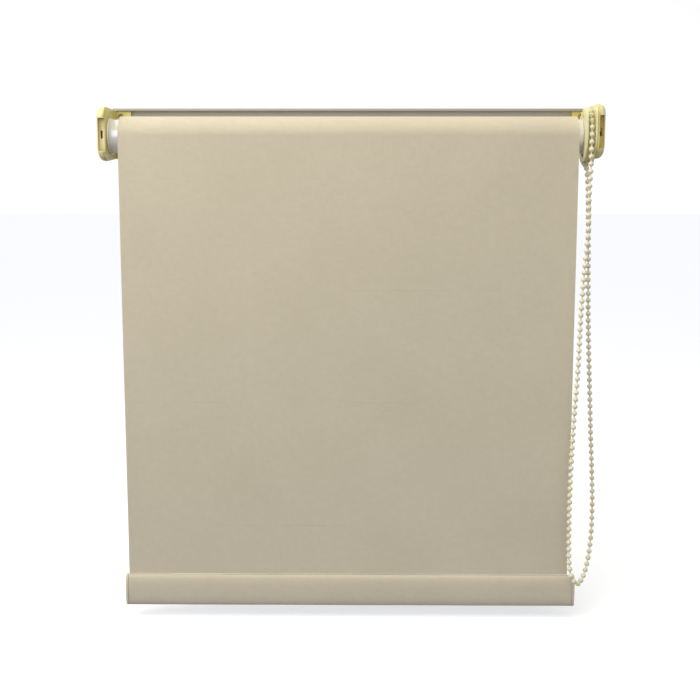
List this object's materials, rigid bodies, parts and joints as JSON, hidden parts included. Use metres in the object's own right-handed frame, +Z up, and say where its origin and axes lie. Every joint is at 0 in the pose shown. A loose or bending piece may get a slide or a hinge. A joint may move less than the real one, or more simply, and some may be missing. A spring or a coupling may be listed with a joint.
{
  "type": "roller blind",
  "caption": "Small roller blind with a chain-driven tube in moulded brackets on a wall rail, hanging fabric and a fabric-wrapped bottom bar.",
  "frame": {"origin": "middle of the wall rail's back face, on the wall", "axes": "+X to the right seen from the room, +Y into the wall, +Z up; the chain is at the +X end"},
  "size_m": [0.4307, 0.0594, 0.4333],
  "materials": {
    "cream_plastic": "satin moulded cream plastic",
    "inner_plastic": "matt moulded plastic inside the tube",
    "aluminium": "mill-finish extrusion",
    "steel": "bright spring steel",
    "blind_fabric": "fine plain-weave polyester, cream",
    "tape": "double-sided tape",
    "bead_plastic": "ivory plastic beads moulded on a cord",
    "cap_plastic": "moulded beige plastic"
  },
  "bodies": {
    "mount": {"mounting_rail": "aluminium", "left_bracket": "cream_plastic", "left_bracket_cover": "cream_plastic", "left_pin_socket": "cream_plastic", "right_bracket": "cream_plastic", "right_bracket_cover": "cream_plastic", "right_shaft_socket": "cream_plastic", "clutch_shaft": "inner_plastic", "clutch_retaining_clip": "steel", "wrap_spring_1": "steel", "wrap_spring_2": "steel", "inner_chain_guard": "cream_plastic", "outer_chain_guard": "cream_plastic", "bead_chain_loop": "bead_plastic", "bead_chain_on_wheel": "bead_plastic", "hanging_fabric": "blind_fabric"},
    "roller": {"roller_tube": "aluminium", "fixing_tape": "tape", "wound_fabric": "blind_fabric", "idle_plug": "cream_plastic", "idle_spring": "steel", "drive_hub": "inner_plastic"},
    "pin": {"idle_pin": "steel"},
    "wheel": {"chain_wheel": "cream_plastic"},
    "hem": {"bottom_bar": "aluminium", "hem_spline": "inner_plastic", "hem_fabric": "blind_fabric", "left_bar_cap": "cap_plastic", "right_bar_cap": "cap_plastic"}
  },
  "joints": [
    {"name": "roller_spin", "type": "hinge", "parent": "mount", "child": "roller", "pos_m": [0, -0.0315, -0.0155], "axis": [-1, 0, 0], "range_deg": [0, 1290]},
    {"name": "wheel_spin", "type": "hinge", "parent": "mount", "child": "wheel", "pos_m": [0, -0.0315, -0.0155], "axis": [-1, 0, 0], "range_deg": [0, 1290]},
    {"name": "hem_lift", "type": "slide", "parent": "mount", "child": "hem", "axis": [0, 0, 1], "range_m": [0, 0.3558], "deforming": ["hanging_fabric"]},
    {"name": "idle_pin_slide", "type": "slide", "parent": "roller", "child": "pin", "axis": [1, 0, 0], "range_m": [0, 0.005], "stiffness_N_per_m": 400, "springref_m": -0.004, "deforming": ["idle_spring"]}
  ],
  "couplings": [
    {"joint": "wheel_spin", "follows": "roller_spin", "ratio": 1},
    {"joint": "hem_lift", "follows": "roller_spin", "m_per_rad": 0.0158}
  ]
}
